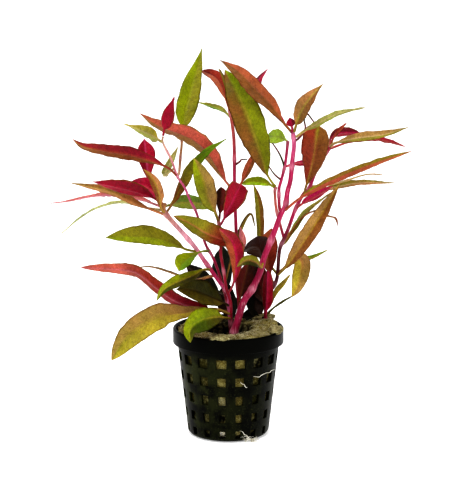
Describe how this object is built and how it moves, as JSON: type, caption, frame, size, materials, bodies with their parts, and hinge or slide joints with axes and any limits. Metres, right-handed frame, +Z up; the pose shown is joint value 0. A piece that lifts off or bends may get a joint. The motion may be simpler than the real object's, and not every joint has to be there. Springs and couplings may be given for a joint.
{
  "type": "potted aquarium plant",
  "caption": "Bushy stem plant with long narrow green, rust and crimson leaves on pink stems, rooted in rock wool in a black plastic net pot that stands on its flat base.",
  "frame": {"origin": "centre of the pot's flat underside", "axes": "+Z up along the pot's axis, -Y towards the viewer of the picture, +X to the viewer's right"},
  "size_m": [0.1743, 0.104, 0.181],
  "materials": {
    "pot_plastic": "black moulded plastic with a dull sheen",
    "rock_wool": "matted khaki fibres",
    "stem_pink": "moist magenta skin, paler at the nodes",
    "leaf_lime": "satin lime green leaf",
    "leaf_pale_green": "satin pale green leaf",
    "leaf_olive": "satin olive leaf",
    "leaf_tan": "satin tan leaf",
    "leaf_brown": "satin olive-brown leaf",
    "leaf_rust": "satin rust leaf",
    "leaf_red": "satin dark red leaf",
    "leaf_pink": "satin pink-rust leaf",
    "leaf_crimson": "satin crimson leaf",
    "leaf_dark_green": "dark shaded leaf",
    "leaf_dark_brown": "dark shaded leaf"
  },
  "bodies": {
    "root": {"net_pot": "pot_plastic", "rockwool_plug": "rock_wool", "stem_left": "stem_pink", "stem_upper_left": "stem_pink", "stem_upper_left_side": "stem_pink", "stem_front": "stem_pink", "stem_tall": "stem_pink", "stem_main": "stem_pink", "stem_main_side": "stem_pink", "stem_right": "stem_pink", "stem_right_side": "stem_pink", "leaf_top_green": "leaf_lime", "leaf_top_crimson": "leaf_crimson", "leaf_arching": "leaf_pink", "leaf_pale_upper_left": "leaf_pale_green", "leaf_long_upper_left": "leaf_red", "leaf_left_rising": "leaf_crimson", "leaf_left_crimson": "leaf_crimson", "leaf_left_olive": "leaf_brown", "leaf_left_brown": "leaf_brown", "leaf_left_back": "leaf_pink", "leaf_left_hanging": "leaf_pale_green", "leaf_lime_behind": "leaf_lime", "leaf_centre_lime": "leaf_olive", "leaf_slanting": "leaf_brown", "leaf_centre_heart": "leaf_crimson", "leaf_large_green": "leaf_olive", "leaf_top_rust": "leaf_rust", "leaf_top_narrow": "leaf_olive", "leaf_large_rust": "leaf_rust", "leaf_top_behind": "leaf_crimson", "leaf_top_tan": "leaf_tan", "leaf_top_right_pale": "leaf_pale_green", "leaf_large_red": "leaf_red", "leaf_right_tan": "leaf_tan", "leaf_right_crimson": "leaf_crimson", "leaf_right_behind": "leaf_crimson", "leaf_right_long": "leaf_olive", "leaf_right_short_crimson": "leaf_crimson", "leaf_right_olive": "leaf_olive", "leaf_large_brown": "leaf_brown", "leaf_right_drooping": "leaf_olive", "leaf_right_thin": "leaf_brown", "leaf_small_lime_high": "leaf_lime", "leaf_small_lime_low": "leaf_lime", "leaf_upright_olive": "leaf_olive", "leaf_shaded_brown": "leaf_dark_brown", "leaf_shaded_rust": "leaf_rust", "leaf_shaded_green": "leaf_dark_green", "leaf_centre_crimson": "leaf_crimson", "leaf_centre_rust": "leaf_pink", "leaf_small_lime_left": "leaf_lime", "leaf_left_lime": "leaf_lime", "leaf_low_long": "leaf_pink", "leaf_low_olive": "leaf_olive", "leaf_low_dark": "leaf_dark_green", "leaf_low_large": "leaf_olive", "leaf_over_rim": "leaf_lime", "leaf_foot_right": "leaf_crimson", "leaf_centre_dark": "leaf_dark_brown"}
  },
  "joints": []
}
